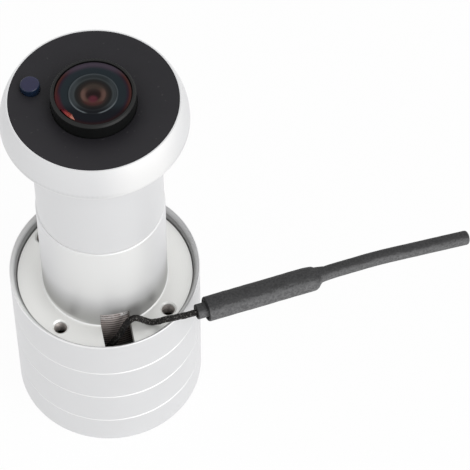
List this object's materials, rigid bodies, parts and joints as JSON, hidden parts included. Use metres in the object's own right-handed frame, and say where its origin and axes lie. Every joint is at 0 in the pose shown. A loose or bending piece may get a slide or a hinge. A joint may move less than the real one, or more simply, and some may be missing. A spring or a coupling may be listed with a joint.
{
  "type": "peephole door camera",
  "caption": "Door viewer camera: a fisheye lens head with a flared flange on a threaded neck, screwed to a grooved round body with a cable notch and a short antenna on a thin lead.",
  "frame": {"origin": "centre of the body's rear edge, which the camera stands on", "axes": "+Z along the optical axis towards the lens, -Y towards the cable notch"},
  "size_m": [0.088, 0.036, 0.0923],
  "materials": {
    "satin_aluminium": "satin anodised",
    "plate_aluminium": "turned, satin",
    "thread_aluminium": "threaded",
    "disc_black": "satin black",
    "lens_black": "black anodised",
    "lens_glass": "coated, polished",
    "filter_glass": "coated, polished",
    "sensor_blue": "tinted epoxy",
    "carrier_plastic": "moulded",
    "steel": "plated",
    "seal_rubber": "moulded",
    "cover_plastic": "moulded",
    "button_plastic": "moulded",
    "board_green": "solder mask",
    "chip_black": "moulded",
    "connector_ivory": "moulded",
    "gold_plate": "gold plated",
    "brass": "turned",
    "ribbon_white": "laminated",
    "led_white": "moulded",
    "pipe_clear": "clear moulded",
    "wire_red": "extruded",
    "lead_black": "extruded",
    "shrink_grey": "heat shrunk"
  },
  "bodies": {
    "body": {"body_shell": "satin_aluminium", "front_plate": "plate_aluminium", "lock_collar": "satin_aluminium", "thread_tube": "thread_aluminium", "pillars": "brass", "rear_cover": "cover_plastic", "rear_screws": "steel", "main_board": "board_green", "processor": "chip_black", "wifi_module": "steel", "usb_socket": "steel", "card_socket": "steel", "reset_switch": "chip_black", "status_led": "led_white", "light_pipe": "pipe_clear", "antenna_socket": "gold_plate", "antenna_plug": "gold_plate", "board_connector": "connector_ivory", "ribbon_cable": "ribbon_white", "antenna_lead": "lead_black", "antenna_ferrule": "shrink_grey", "antenna_sleeve": "shrink_grey", "antenna_whip": "shrink_grey"},
    "reset_button": {"reset_button": "button_plastic"},
    "lens_core": {"front_disc": "disc_black", "light_sensor": "sensor_blue", "sensor_leads": "wire_red", "lens_carrier": "carrier_plastic", "lens_barrel": "lens_black", "front_lens": "lens_glass", "spacer_ring": "lens_black", "second_lens": "lens_glass", "rear_lens": "lens_glass", "ir_filter": "filter_glass", "image_sensor": "chip_black", "sensor_board": "board_green", "sensor_screws": "steel", "sensor_connector": "connector_ivory"},
    "head": {"head_shell": "satin_aluminium", "core_circlip": "steel", "front_seal": "seal_rubber"}
  },
  "joints": [
    {"name": "core_slide", "type": "slide", "parent": "body", "child": "lens_core", "axis": [0, 0, 1], "range_m": [0, 0.012], "deforming": ["ribbon_cable"]},
    {"name": "head_turn", "type": "hinge", "parent": "lens_core", "child": "head", "pos_m": [0, 0, 0.07], "axis": [0, 0, 1], "range_deg": [0, 5760]},
    {"name": "reset_press", "type": "slide", "parent": "body", "child": "reset_button", "axis": [0, 0, 1], "range_m": [0, 0.0003], "stiffness_N_per_m": 1500, "springref_m": -0.0002}
  ],
  "couplings": [
    {"joint": "head_turn", "follows": "core_slide", "rad_per_m": 8377.6}
  ]
}
